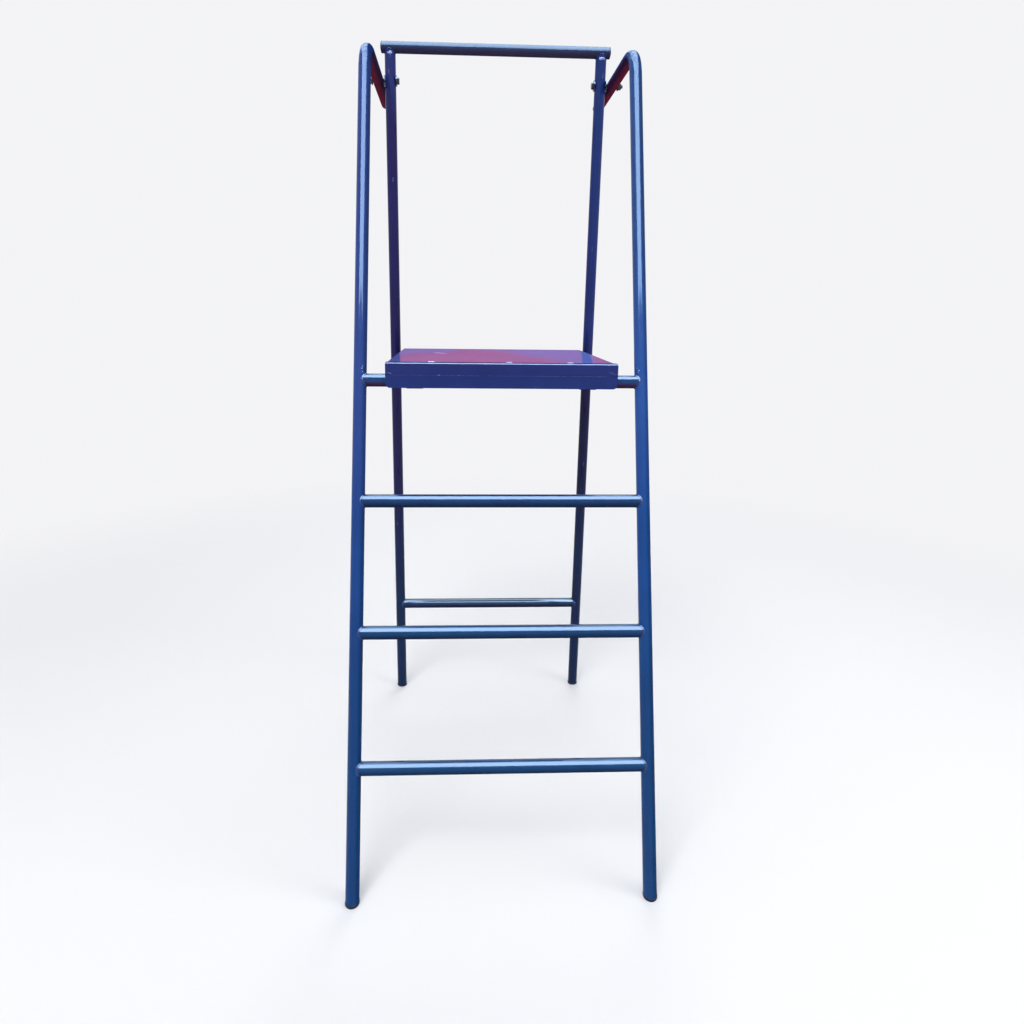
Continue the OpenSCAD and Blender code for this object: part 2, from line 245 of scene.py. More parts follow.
plainCoat = {  # what a coat has where its own entry says nothing else
    "along": "x",  # the way the paint has run
    "paintedUnder": 0.5,  # how much painted shade and painted reflection of red surroundings a side gets where it faces down
    "paintedUnderFrom": (-0.1, 0.7),  # how far down it faces where that starts and where it is full
    "glossFrom": (-0.45, 0.0),  # how far up a side faces where the gloss starts and where it is full
    "dullTop": 0.0,  # how much of the gloss is lost again on top
    "dullTopFrom": (0.9, 1.0),
}
stileCoat = {  # each stile adds its way out in x and the ranges over which its bend and its right side dull
    "along": "z", "under": (0.112, 0.015, 0.028), "paintedUnder": 1.0, "paintedUnderFrom": (0.05, 0.5), "index": 1.30,
    "dullTop": 0.35, "dullTopFrom": (0.32, 0.5),
    "armShade": (0.032, 0.010, 0.040),  # colour under the arms
}
uprightCoat = {
    "along": "z", "under": (0.020, 0.004, 0.020), "index": 1.25,
    "dullTop": 1.0, "dullTopFrom": (0.15, 0.4),
}
seatCoat = {"under": (0.006, 0.012, 0.080), "dullTop": 1.0, "dullTopFrom": (0.97, 0.995)}
enamelLooks = {  # "tones" are colours at heights over the floor: the blue with painted light and shade up each piece; "under" is painted shade and a painted reflection of red surroundings on sides that face down, "index" the gloss
    "leftStileEnamel": {
        **stileCoat, "outward": -1, "innerDull": (0.1, 0.7), "asideFrom": (0.25, 0.9),
        "tones": ((0.35, (0.000, 0.041, 0.170)), (0.78, (0.004, 0.049, 0.226)),
                  (1.10, (0.019, 0.054, 0.248)), (1.60, (0.016, 0.043, 0.205)))},
    "rightStileEnamel": {
        **stileCoat, "outward": 1, "innerDull": (0.6, 0.95), "asideFrom": (0.0, 0.6),
        "tones": ((0.35, (0.001, 0.045, 0.172)), (0.78, (0.003, 0.057, 0.248)),
                  (1.15, (0.016, 0.073, 0.308)), (1.60, (0.016, 0.062, 0.224)))},
    "rungEnamel": {
        "under": (0.012, 0.016, 0.040), "paintedUnder": 0.9, "paintedUnderFrom": (-0.55, 0.6), "index": 1.38,
        "glossFrom": (0.46, 0.55),
        "tones": ((0.30, (0.015, 0.064, 0.180)), (1.90, (0.026, 0.050, 0.170)))},
    "seatRungEnamel": {
        "under": (0.050, 0.010, 0.028), "paintedUnder": 0.9, "paintedUnderFrom": (-0.2, 0.7), "index": 1.38,
        "glossFrom": (0.46, 0.55),
        "tones": ((0.30, (0.015, 0.064, 0.180)), (1.90, (0.026, 0.050, 0.170)))},
    "leftUprightEnamel": {
        **uprightCoat,
        "tones": ((0.30, (0.003, 0.018, 0.068)), (0.90, (0.013, 0.010, 0.071)),
                  (1.85, (0.015, 0.014, 0.103)), (2.02, (0.020, 0.030, 0.152)))},
    "rightUprightEnamel": {
        **uprightCoat,
        "tones": ((0.40, (0.004, 0.016, 0.064)), (1.08, (0.011, 0.008, 0.058)),
                  (1.30, (0.012, 0.025, 0.146)), (2.02, (0.012, 0.032, 0.156)))},
    "rearBarEnamel": {
        "under": (0.032, 0.024, 0.051), "paintedUnder": 0.9, "index": 1.28,
        "dullTop": 0.3, "dullTopFrom": (0.40, 0.75),
        "tones": ((0.30, (0.006, 0.030, 0.090)), (1.90, (0.019, 0.037, 0.103)))},
    "lowBarEnamel": {
        "under": (0.022, 0.014, 0.028), "paintedUnder": 0.9, "paintedUnderFrom": (-0.3, 0.7), "index": 1.44,
        "glossFrom": (-0.1, 0.2),
        "tones": ((0.30, (0.006, 0.030, 0.090)), (1.90, (0.010, 0.030, 0.090)))},
    "seatEnamel": {
        **seatCoat, "index": 1.36,
        "tones": ((0.30, (0.004, 0.014, 0.128)), (1.90, (0.004, 0.014, 0.128)))},
    "apronEnamel": {
        **seatCoat, "index": 1.50, "glossFrom": (0.05, 0.25),
        "tones": ((1.15, (0.021, 0.036, 0.160)), (1.21, (0.023, 0.033, 0.148)))},
    "weldEnamel": {
        "under": (0.010, 0.014, 0.045), "paintedUnder": 0.6, "index": 1.40,
        "tones": ((0.30, (0.020, 0.050, 0.180)), (1.90, (0.040, 0.055, 0.190)))},
}
paleLines = {
    "lines": (  # across the seat and down from the apron's top, both ends in metres, half width, strength
        ((-0.268, 0.0295), (0.262, 0.0300), 0.0006, 0.22),
        ((-0.275, 0.0238), (-0.267, 0.0264), 0.0009, 0.60),
        ((-0.154, 0.0292), (-0.151, 0.0292), 0.0012, 0.50),
        ((-0.106, 0.0295), (-0.104, 0.0295), 0.0010, 0.40),
        ((0.260, 0.0185), (0.276, 0.0252), 0.0007, 0.40),
        ((0.078, 0.0605), (0.083, 0.0555), 0.0007, 0.30)),
    "colour": (0.42, 0.47, 0.78),
    "breaks": ((240, 900, 900), 3.0, 0.6, 0.40, 0.60),
    "faintest": 0.25,  # part of its strength that a line keeps in its breaks
    "core": 0.4,  # part of the half width inside the soft edge
}
enamelMake = {  # what all coats share; noises are lumps per metre, detail and roughness, then the levels
    "clouds": (7.0, 4.0, 0.6, 0.3, 0.7),
    "cloudTints": ((0.90, 0.91, 0.93), (1.08, 1.06, 1.05)),
    "runLength": 9.0,  # runs per metre along the piece and across it
    "runWidth": 120.0,
    "runDetail": 2.0,
    "runLevels": (0.2, 0.7),
    "runBreaks": 0.12,  # how far the runs break up the painted underside shade and reflection
    "runRelief": (0.04, 0.0006),  # strength and height
    "peel": (620.0, 1.0),  # orange peel
    "peelRelief": (0.006, 0.0003),
    "rubbing": ((14, 60, 60), 4.0, 0.7, 0.4, 0.8),
    "dust": (0.16, 0.18, 0.24),
    "dustPatches": (38.0, 5.0, 0.7, 0.45, 0.8),
    "dustFrom": (0.8, 1.0),  # how far up a side faces where it gathers
    "dustShows": 0.08,
    "roughness": (0.08, 0.08, 0.12),  # clean, and what rubbing and dust add
    "dullRoughness": 0.7,
}
armMake = {  # what the stiles and their arms add
    "heights": (1.8, 1.9),  # where a stile has become its arm
    "shadeFrom": (-0.05, 0.25),  # how far down an arm's side faces where its shade starts and is full
    "asideTint": (0.008, 0.020, 0.030),  # the light falls off on the right of both
    "asideShows": 0.34,
    "asideDull": 0.8,
    "paintedUnderWay": (0.6, 0.8),  # the painted reflection of the red surroundings spreads outward and down
    "paintedUnderWayFrom": (0.1, 0.9),
    "bendFrom": (0.02, 0.06),  # places from front to back where the bend starts and is well under way
    "bendDull": 0.85,
}


def drawPaleLines(tree, place, base):  # pale lines on the front of the apron, one across nearly its whole width
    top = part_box("front_apron")[1].z
    across, up = tree.part(place, "X"), tree.part(place, "Z")
    faintest = paleLines["faintest"]
    broken = faintest + tree.patches(place, *paleLines["breaks"]) * (1 - faintest)
    for start, end, width, strength in paleLines["lines"]:
        run = Vector((end[0] - start[0], start[1] - end[1]))
        length = run.length
        run.normalize()
        offX, offZ = across - start[0], up - (top - start[1])
        along = offX * run.x + offZ * run.y - length / 2
        past = (abs(along) - length / 2).atLeast(0.0)
        aside = offX * run.y - offZ * run.x
        near = (past * past + aside * aside) ** 0.5
        mark = 1 - tree.rise(near, width * paleLines["core"], width)
        base = tree.blend(mark * broken * strength, base, paleLines["colour"])
    return base


def enamel(name, look, make, arm):
    look = {**plainCoat, **look}
    material = bpy.data.materials.new(name)
    tree = Tree(material)
    place = tree.add("ShaderNodeTexCoord", output="Object")
    normal = tree.add("ShaderNodeTexCoord", output="Normal")
    height = tree.part(place, "Z")
    facing = tree.part(normal, "Z")
    short, long = make["runWidth"], make["runLength"]
    runs = tree.noise(place, (long, short, short) if look["along"] == "x" else (short, short, long),
                      make["runDetail"])
    full = cadBox[1][2]
    # the colours by height carry painted light and shade along each piece
    stops = [(level / full, colour) for level, colour in look["tones"]]
    base = tree.add("ShaderNodeValToRGB", {"stops": stops}, {"Fac": height * (1 / full)})
    shade = tree.blend(tree.patches(place, *make["clouds"]), *make["cloudTints"])
    base = tree.add("ShaderNodeMix", {"data_type": "RGBA", "blend_type": "MULTIPLY"},
                    {0: 1.0, 6: base, 7: shade}, output=2)
    uneven = 1 - make["runBreaks"] + tree.rise(runs, *make["runLevels"]) * make["runBreaks"]
    paintedUnder = tree.rise(0 - facing, *look["paintedUnderFrom"]) * uneven * look["paintedUnder"]
    dull = 1 - tree.rise(facing, *look["glossFrom"])
    if "armShade" in look:
        shaded = tree.rise(0 - facing, *arm["shadeFrom"]) * tree.rise(height, *arm["heights"])
        base = tree.blend(shaded, base, look["armShade"])
        right = tree.part(normal, "X")
        aside = tree.rise(right, *look["asideFrom"])
        base = tree.blend(aside * arm["asideShows"], base, arm["asideTint"])
        outward = right * look["outward"]
        paintedUnderWay = outward * arm["paintedUnderWay"][0] - facing * arm["paintedUnderWay"][1]
        paintedUnder = paintedUnder * tree.rise(paintedUnderWay, *arm["paintedUnderWayFrom"])
        bent = tree.rise(tree.part(place, "Y"), *arm["bendFrom"])
        inner = bent * tree.rise(0 - outward, *look["innerDull"])
        dull = inner * arm["bendDull"] + aside * arm["asideDull"] + dull
    # painted shade, and a painted reflection of red surroundings, on sides that face down
    base = tree.blend(paintedUnder, base, look["under"])
    if name == "apronEnamel":
        base = drawPaleLines(tree, place, base)
    settled = tree.rise(facing, *make["dustFrom"]) * tree.patches(place, *make["dustPatches"])
    base = tree.blend(settled * make["dustShows"], base, make["dust"])
    clean, rubbed, dusty = make["roughness"]
    rough = clean + tree.patches(place, *make["rubbing"]) * rubbed + settled * dusty
    relief = tree.bump(tree.noise(place, *make["peel"]), *make["peelRelief"],
                       tree.bump(runs, *make["runRelief"]))
    dull = (tree.rise(facing, *look["dullTopFrom"]) * look["dullTop"] + dull).atMost(1.0)
    glossy = tree.shader({"Base Color": base, "Roughness": rough, "IOR": look["index"], "Normal": relief})
    matt = tree.shader({"Base Color": base, "Roughness": make["dullRoughness"], "Specular IOR Level": 0.0,
                        "Normal": relief})
    tree.finish(tree.mixShaders(dull, glossy, matt))
    return material


enamels = {name: enamel(name, look, enamelMake, armMake) for name, look in enamelLooks.items()}
print("enamel mixed in", len(enamels), "tones")


# Top of the seat: its colours are a painted reflection of red surroundings and of the two uprights

seatTop = {
    # the violet and pink are a painted reflection of red surroundings in the glossy blue top
    "violet": (0.252, 0.176, 0.475),
    "pinkReflection": (0.362, 0.137, 0.318),  # painted reflection of red surroundings, pinker
    "side": (0.004, 0.014, 0.128),
    "sideFrom": (0.5, 0.95),  # how far up the sheet faces where the top's painted reflection starts
    "clouds": ((9, 5, 9), 4.0, 0.55),  # noises as for the enamel
    "wobble": 0.7,  # how far the clouds move the pink part's edges
    "violetSlope": 4.8,  # violet right of this line, in depths of the seat per metre across
    "violetFrom": (0.66, 1.22),
    "stripSlant": 0.0936,  # pink strip along the right edge
    "stripFrom": (0.218, 0.235),
    "stripPink": 0.8,
    "cornerSlope": -1.7,  # violet again in the rear left corner
    "cornerWobble": 0.6,
    "cornerFrom": (0.74, 1.12),
    "cornerSide": (-0.14, -0.09),
    "rearWobble": 0.3,
    "rearFrom": (0.72, 1.02),  # and along the rear
    "rearViolet": 0.55,
    # streaks in the painted reflection, which also change the roughness
    "streaks": ((150, 10, 60), 3.0, 0.6),
    "streakLevels": (0.25, 0.8),
    "streakShare": 0.14,
    # a pale spot on the top
    "paleSpot": (0.580, 0.430, 0.660),
    "paleSpotPlace": (-0.162, 0.64),  # across the seat in metres, part of its depth from the front
    "paleSpotSize": (0.022, 0.048),
    "paleSpotSlant": 0.8,
    "paleSpotEdge": (130.0, 4.0, 0.6),
    "paleSpotRagged": 1.6,
    "paleSpotFrom": (0.1, 1.1),
    "paleSpotStreaks": ((35, 240, 60), 3.0, 0.6, 0.3, 0.55),
    "paleSpotShows": 0.9,
    # colours of the uprights' painted reflections
    "blue": (0.078, 0.130, 0.440),
    "dim": (0.058, 0.082, 0.300),
    "uprightReflections": (  # painted reflections of the two uprights: place at the front edge, slant, strength, colour
        (0.2066, 0.0936, 0.95, "blue"),
        (-0.257, -0.053, 0.95, "dim")),
    "bandWidth": 0.0135,  # half of it
    "bandEdge": (0.75, 1.15),  # parts of that width
    "peel": (520.0, 1.0),
    "peelRelief": (0.05, 0.0004),  # strength and height
    "dish": (5.0, 2.0),
    "dishRelief": (0.1, 0.003),
    "roughness": 0.6,
    "streakRoughness": 0.1,
    "streakRoughLevels": (0.3, 0.7),
}


def seatTopEnamel(look):
    material = bpy.data.materials.new("seatTopEnamel")
    tree = Tree(material)
    place = tree.add("ShaderNodeTexCoord", output="Object")
    facing = tree.part(tree.add("ShaderNodeTexCoord", output="Normal"), "Z")
    low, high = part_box("seat_pan")
    across = tree.part(place, "X")
    depth = (tree.part(place, "Y") - low.y) * (1 / (high.y - low.y))
    wobble = (tree.noise(place, *look["clouds"]) - 0.5) * look["wobble"]
    violetPart = tree.rise(across * look["violetSlope"] + depth + wobble, *look["violetFrom"])
    strip = tree.rise(across - depth * look["stripSlant"], *look["stripFrom"])
    violetPart = violetPart * (1 - strip * look["stripPink"])
    cornerLine = across * look["cornerSlope"] + depth + wobble * look["cornerWobble"]
    corner = tree.rise(cornerLine, *look["cornerFrom"]) * (1 - tree.rise(across, *look["cornerSide"]))
    rear = tree.rise(depth + wobble * look["rearWobble"], *look["rearFrom"])
    violetPart = 1 - (1 - violetPart) * (1 - corner) * (1 - rear * look["rearViolet"])
    streaks = tree.noise(place, *look["streaks"])
    share = look["streakShare"]
    violetPart = violetPart * (1 - share) + tree.rise(streaks, *look["streakLevels"]) * share
    # painted reflection of red surroundings, from pink to violet
    top = tree.blend(violetPart, look["pinkReflection"], look["violet"])
    # a pale spot, ragged at its edge
    paleSpotX, paleSpotDepth = look["paleSpotPlace"]
    offX = (across - paleSpotX) * (1 / look["paleSpotSize"][0])
    offY = (depth - paleSpotDepth) * (1 / look["paleSpotSize"][1]) + offX * look["paleSpotSlant"]
    ragged = (tree.noise(place, *look["paleSpotEdge"]) - 0.5) * look["paleSpotRagged"]
    paleSpot = 1 - tree.rise(offX * offX + offY * offY + ragged, *look["paleSpotFrom"])
    paleSpot = paleSpot * tree.patches(place, *look["paleSpotStreaks"])
    top = tree.blend(paleSpot * look["paleSpotShows"], top, look["paleSpot"])
    # painted reflections of the two uprights
    for middleX, slant, strength, colour in look["uprightReflections"]:
        inside, outside = (look["bandWidth"] * edge for edge in look["bandEdge"])
        uprightReflection = 1 - tree.rise(abs(across - depth * slant - middleX), inside, outside)
        top = tree.blend(uprightReflection * strength, top, look[colour])
    base = tree.blend(tree.rise(facing, *look["sideFrom"]), look["side"], top)
    relief = tree.bump(tree.noise(place, *look["peel"]), *look["peelRelief"],
                       tree.bump(tree.noise(place, *look["dish"]), *look["dishRelief"]))
    rough = look["roughness"] + tree.rise(streaks, *look["streakRoughLevels"]) * look["streakRoughness"]
    # matt, since the reflections are painted into the colour
    tree.finish(tree.shader({"Base Color": base, "Roughness": rough, "Specular IOR Level": 0.0,
                             "Normal": relief}))
    return material


seatTopPaint = seatTopEnamel(seatTop)


# Plastic plugs, painted hardware, pale tack welds and a painted highlight on the heaped welds

plugLook = {
    "colour": (0.010, 0.014, 0.032),
    "grime": (0.055, 0.050, 0.048),
    "grimePatches": (90.0, 4.0, 0.6, 0.35, 0.8),
    "grimeTop": 0.02,  # height over the floor
    "grimeShows": 0.5,
    "specular": 0.12,
    "roughness": 0.45,
    "wear": (60.0, 3.0, 0.5, 0.3, 0.7),
    "wearRoughness": 0.2,
    "grain": (1800.0, 2.0),
    "grainRelief": (0.15, 0.0002),
}
hardwareLook = {
    "paint": ((0.006, 0.008, 0.030), (0.010, 0.014, 0.048)),
    "clouds": (150.0, 3.0, 0.5, 0.3, 0.7),
    "steel": (0.30, 0.31, 0.33),
    "chips": (260.0, 2.0, 0.5, 0.74, 0.78),
    "chipMetal": 0.9,
    "roughness": 0.16,
    "chipRoughness": 0.2,
    "index": 1.45,
    "peel": (300.0, 1.0),
    "peelRelief": (0.02, 0.0003),
}
primerLooks = {  # dark and light tone, roughness
    "primerPaint": ((0.22, 0.30, 0.48), (0.40, 0.48, 0.66), 0.4),
    # pale colour on the apron's tack welds
    "paleTacks": ((0.50, 0.53, 0.78), (0.66, 0.68, 0.92), 0.4),
    # pale blue painted highlight on the heaped welds
    "heapedWeldSheen": ((0.13, 0.18, 0.38), (0.22, 0.29, 0.54), 0.6),
}
primerMake = {
    "mottle": (900.0, 3.0, 0.5, 0.3, 0.7),
    "index": 1.45,
}


def plugPlastic(look):
    material = bpy.data.materials.new("plugPlastic")
    tree = Tree(material)
    place = tree.add("ShaderNodeTexCoord", output="Object")
    low = 1 - tree.rise(tree.part(place, "Z"), 0.0, look["grimeTop"])
    grime = tree.patches(place, *look["grimePatches"]) * low
    base = tree.blend(grime * look["grimeShows"], look["colour"], look["grime"])
    rough = look["roughness"] + tree.patches(place, *look["wear"]) * look["wearRoughness"]
    relief = tree.bump(tree.noise(place, *look["grain"]), *look["grainRelief"])
    tree.finish(tree.shader({"Base Color": base, "Roughness": rough, "Specular IOR Level": look["specular"],
                             "Normal": relief}))
    return material


def hardwarePaint(look):
    material = bpy.data.materials.new("hardwarePaint")
    tree = Tree(material)
    place = tree.add("ShaderNodeTexCoord", output="Object")
    chip = tree.patches(place, *look["chips"])
    paint = tree.blend(tree.patches(place, *look["clouds"]), *look["paint"])
    base = tree.blend(chip, paint, look["steel"])
    rough = look["roughness"] + chip * look["chipRoughness"]
    relief = tree.bump(tree.noise(place, *look["peel"]), *look["peelRelief"])
    tree.finish(tree.shader({"Base Color": base, "Roughness": rough, "Metallic": chip * look["chipMetal"],
                             "IOR": look["index"], "Normal": relief}))
    return material


def primerPaint(name, look, make):
    dark, light, rough = look
    material = bpy.data.materials.new(name)
    tree = Tree(material)
    place = tree.add("ShaderNodeTexCoord", output="Object")
    base = tree.blend(tree.patches(place, *make["mottle"]), dark, light)
    tree.finish(tree.shader({"Base Color": base, "Roughness": rough, "IOR": make["index"]}))
    return material


plastic = plugPlastic(plugLook)
primers = {name: primerPaint(name, look, primerMake) for name, look in primerLooks.items()}
hardware = hardwarePaint(hardwareLook)
finishes = {
    "left_stile": "leftStileEnamel", "right_stile": "rightStileEnamel",
    "bottom_rung": "rungEnamel", "lower_rung": "rungEnamel",
    "upper_rung": "rungEnamel", "seat_rung": "seatRungEnamel",
    "left_upright": "leftUprightEnamel", "right_upright": "rightUprightEnamel",
    "top_bar": "rearBarEnamel", "rear_seat_bar": "lowBarEnamel", "rear_lower_bar": "lowBarEnamel",
    "front_apron": "apronEnamel", "left_runner": "seatEnamel", "right_runner": "seatEnamel",
    "left_hinge_bracket": "seatEnamel", "right_hinge_bracket": "seatEnamel",
    "left_seat_hook": "seatEnamel", "right_seat_hook": "seatEnamel",
}
for node, finish in finishes.items():
    nodes[node].material_slots[0].material = enamels[finish]
nodes["seat_pan"].material_slots[0].material = seatTopPaint
for node in ("pivot_bolts", "pivot_nuts", "head_washers", "spacer_washers", "nut_washers"):
    nodes[node].material_slots[0].material = hardware
for node in ("left_arm_plug", "right_arm_plug", "top_bar_plugs", "left_front_foot", "right_front_foot",
             "left_rear_foot", "right_rear_foot"):
    nodes[node].material_slots[0].material = plastic
print("finishes on the frame")


# Helpers for modelling

def deselectAll():
    if bpy.context.object and bpy.context.object.mode != "OBJECT":
        bpy.ops.object.mode_set(mode="OBJECT")
    bpy.ops.object.select_all(action="DESELECT")


def only(*objects):  # selects these objects and nothing else
    deselectAll()
    for piece in objects:
        piece.select_set(True)
    bpy.context.view_layer.objects.active = objects[0]


def pick(kind, test):  # selects the faces or edges of the active mesh that pass the test
    bpy.ops.object.mode_set(mode="OBJECT")
    mesh = bpy.context.object.data
    for parts in (mesh.vertices, mesh.edges, mesh.polygons):
        parts.foreach_set("select", [False] * len(parts))
    bpy.context.tool_settings.mesh_select_mode = (False, kind == "edges", kind == "faces")
    for part in getattr(mesh, "polygons" if kind == "faces" else "edges"):
        part.select = test(part)
    bpy.ops.object.mode_set(mode="EDIT")


def edgeMiddle(edge):
    mesh = bpy.context.object.data
    return (mesh.vertices[edge.vertices[0]].co + mesh.vertices[edge.vertices[1]].co) / 2


def settle(piece, name, material, body):  # puts the place into the mesh and hands the piece to its body
    only(piece)
    bpy.ops.object.transform_apply(location=True, rotation=True, scale=True)
    piece.name = name
    piece.data.name = name
    piece.data.materials.clear()
    piece.data.materials.append(material)
    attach(piece, body)


# Weld beads

weld = {
    "dab": (0.0017, 0.0027, 0.0017),  # half sizes of one dab: along the seam, across it, out of it
    "dabFaces": (14, 9),  # round it and from end to end
    "step": 0.0016,
    "sink": 0.0004,
    "wander": 0.00035,
    "grow": (0.88, 1.12),  # how the dabs differ in size, width and lean
    "widths": (0.85, 1.1),
    "lean": 0.25,
    "notchStretch": 1.06,  # a notched seam against a plain circle
    "voxel": 0.00055,
    "smoothing": 2,
    "softness": 0.5,
    "seed": 11,
}


def dabMesh():
    deselectAll()
    around, along = weld["dabFaces"]
    bpy.ops.mesh.primitive_uv_sphere_add(segments=around, ring_count=along, radius=1)
    dab = bpy.context.object
    mesh = dab.data.copy()
    bpy.data.objects.remove(dab)
    return mesh


dabShape = dabMesh()


# A seam is a list of (point, direction along it, direction out of it, extra half width)
def layBead(name, seam, size, material, body, chance,
            voxel=weld["voxel"], smoothing=weld["smoothing"]):
    dabs = []
    for point, along, out, widen in seam:
        side = out.cross(along).normalized()
        out = along.cross(side).normalized()
        grow = chance.uniform(*weld["grow"])
        lean = chance.uniform(-weld["lean"], weld["lean"])
        tipped = (along + out * lean).normalized()
        turn = Matrix((tipped, side, tipped.cross(side))).transposed().to_4x4()
        width = size[1] * chance.uniform(*weld["widths"]) + widen
        shape = Matrix.Diagonal((size[0] * grow, width, size[2] * grow, 1))
        slip = side * chance.uniform(-weld["wander"], weld["wander"]) - out * weld["sink"]
        mesh = dabShape.copy()
        mesh.transform(Matrix.Translation(point + slip) @ turn @ shape)
        dab = bpy.data.objects.new(name, mesh)
        scene.collection.objects.link(dab)
        dabs.append(dab)
    only(*dabs)
    bpy.ops.object.join()
    bead = bpy.context.object
    fuse = bead.modifiers.new("fuse", "REMESH")
    fuse.mode = "VOXEL"
    fuse.voxel_size = voxel
    soften = bead.modifiers.new("soften", "SMOOTH")
    soften.iterations = smoothing
    soften.factor = weld["softness"]
    for modifier in ("fuse", "soften"):
        bpy.ops.object.modifier_apply(modifier=modifier)
    bpy.ops.object.shade_smooth()
    settle(bead, name, material, body)


# Once round the notched end of a branch tube, between its edge and the main tube's skin
def tubeSeam(centre, mainAxis, branchAxis):
    side = mainAxis.cross(branchAxis)
    notch = tubeRadius + notchShift
    count = round(2 * math.pi * tubeRadius * weld["notchStretch"] / weld["step"])
    walk = []
    for k in range(count):
        angle = 2 * math.pi * k / count
        across = tubeRadius * math.sin(angle)
        foot = branchAxis * (math.sqrt(notch ** 2 - across ** 2) - notchShift) + side * across
        skin = foot * (tubeRadius / foot.length)
        point = centre + (foot + skin) / 2 + mainAxis * tubeRadius * math.cos(angle)
        rim = mainAxis * math.cos(angle) + side * math.sin(angle)
        walk.append((point, (rim + skin.normalized()).normalized(), (foot.length - tubeRadius) / 2))
    seam = []
    for k, (point, out, widen) in enumerate(walk):
        along = (walk[(k + 1) % count][0] - walk[k - 1][0]).normalized()
        seam.append((point, along, out, widen))
    return seam


def straightSeam(start, end, out):
    way = (end - start).normalized()
    count = max(2, round((end - start).length / weld["step"]))
    return [(start.lerp(end, (k + 0.5) / count), way, out, 0.0) for k in range(count)]


def weldJoints():
    chance = random.Random(weld["seed"])
    for sign, sideName in sides:
        inward = Vector((-sign, 0, 0))
        for rung in ("bottom_rung", "lower_rung", "upper_rung", "seat_rung"):
            centre = middle(rung)
            centre.x = sign * stileX
            seam = tubeSeam(centre, stileAxis, inward)
            layBead(sideName + "_" + rung + "_weld", seam, weld["dab"], enamels["weldEnamel"],
                    "ladder", chance)
        for bar in ("rear_lower_bar", "rear_seat_bar"):
            centre = middle(bar)
            centre.x = sign * uprightX
            seam = tubeSeam(centre, uprightAxis, inward)
            layBead(sideName + "_" + bar + "_weld", seam, weld["dab"], enamels["weldEnamel"],
                    "rear_frame", chance)
        centre = middle("top_bar")
        centre.x = sign * uprightX
        seam = tubeSeam(centre, Vector((1, 0, 0)), -uprightAxis)
        layBead(sideName + "_top_bar_weld", seam, weld["dab"], enamels[sideName + "UprightEnamel"],
                "rear_frame", chance)


weldJoints()
print("tube joints welded")


# Tack welds on the seat

tacks = {
    "apron": (-0.172, 0.018, 0.168),  # along the seam of the apron's flange
    "tackLength": 0.013,
    "tackDab": (0.0020, 0.0034, 0.0025),
    "runner": (0.12, 0.40, 0.68, 0.92),  # parts of the runner's length
    "runnerLength": 0.016,
    "under": 0.0014,  # how far the beads lie below the pan's sheet, to stay out of its top
    "bracketSeam": (0.003, 0.003),  # off the bracket's middle and short of its ends
    "sleeveSeam": (0.0035, 0.002),
    "hookSeam": (0.001, 0.002),  # over the rung and short of the hook's top
    "seed": 23,
}


def tackApron(chance):
    up = Vector((0, 0, 1))
    rear = Vector((0, 1, 0))
    half = Vector((tacks["tackLength"] / 2, 0, 0))
    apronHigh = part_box("front_apron")[1]
    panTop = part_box("seat_pan")[1].z
    for number, x in enumerate(tacks["apron"], 1):
        point = Vector((x, apronHigh.y, (panTop + apronHigh.z) / 2))
        seam = straightSeam(point - half, point + half, up * 2 + rear)
        layBead("apron_tack_%d" % number, seam, tacks["tackDab"], primers["paleTacks"],
                "seat", chance)


def underSeat(name, seam, chance):
    layBead(name, seam, weld["dab"], enamels["seatEnamel"], "seat", chance)


def tackRunner(sign, sideName, chance):
    low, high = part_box(sideName + "_runner")
    outer = high.x if sign > 0 else low.x
    run = Vector((0, tacks["runnerLength"] / 2, 0))
    seam = []
    for part in tacks["runner"]:
        point = Vector((outer, low.y + part * (high.y - low.y), high.z - tacks["under"]))
        seam += straightSeam(point - run, point + run, Vector((sign, 0, -1)))
    underSeat(sideName + "_runner_tacks", seam, chance)


def weldBracket(sideName, chance):  # to the pan above and to its own sleeve below
    low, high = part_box(sideName + "_hinge_bracket")
    sleeveTop = low.z + (high.y - low.y)
    seam = []
    for face in (-1, 1):
        for z, way, key in ((high.z - tacks["under"], -1, "bracketSeam"), (sleeveTop, 1, "sleeveSeam")):
            aside, short = tacks[key]
            y = middle(sideName + "_hinge_bracket").y + face * aside
            seam += straightSeam(Vector((low.x + short, y, z)), Vector((high.x - short, y, z)),
                                 Vector((0, face, way)))
    underSeat(sideName + "_bracket_welds", seam, chance)


def weldHook(sideName, chance):
    low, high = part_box(sideName + "_seat_hook")
    over, short = tacks["hookSeam"]
    tabBottom = middle("seat_rung").z + tubeRadius + over
    seam = []
    for x, way in ((low.x, -1), (high.x, 1)):
        seam += straightSeam(Vector((x, low.y, tabBottom)), Vector((x, low.y, high.z - short)),
                             Vector((way, 1, 0)))
    underSeat(sideName + "_hook_welds", seam, chance)


def weldSeat():
    chance = random.Random(tacks["seed"])
    tackApron(chance)
    for sign, sideName in sides:
        tackRunner(sign, sideName, chance)
        weldBracket(sideName, chance)
        weldHook(sideName, chance)


weldSeat()
print("seat welded")


# Lumps, sags and chips left by the maker and by use

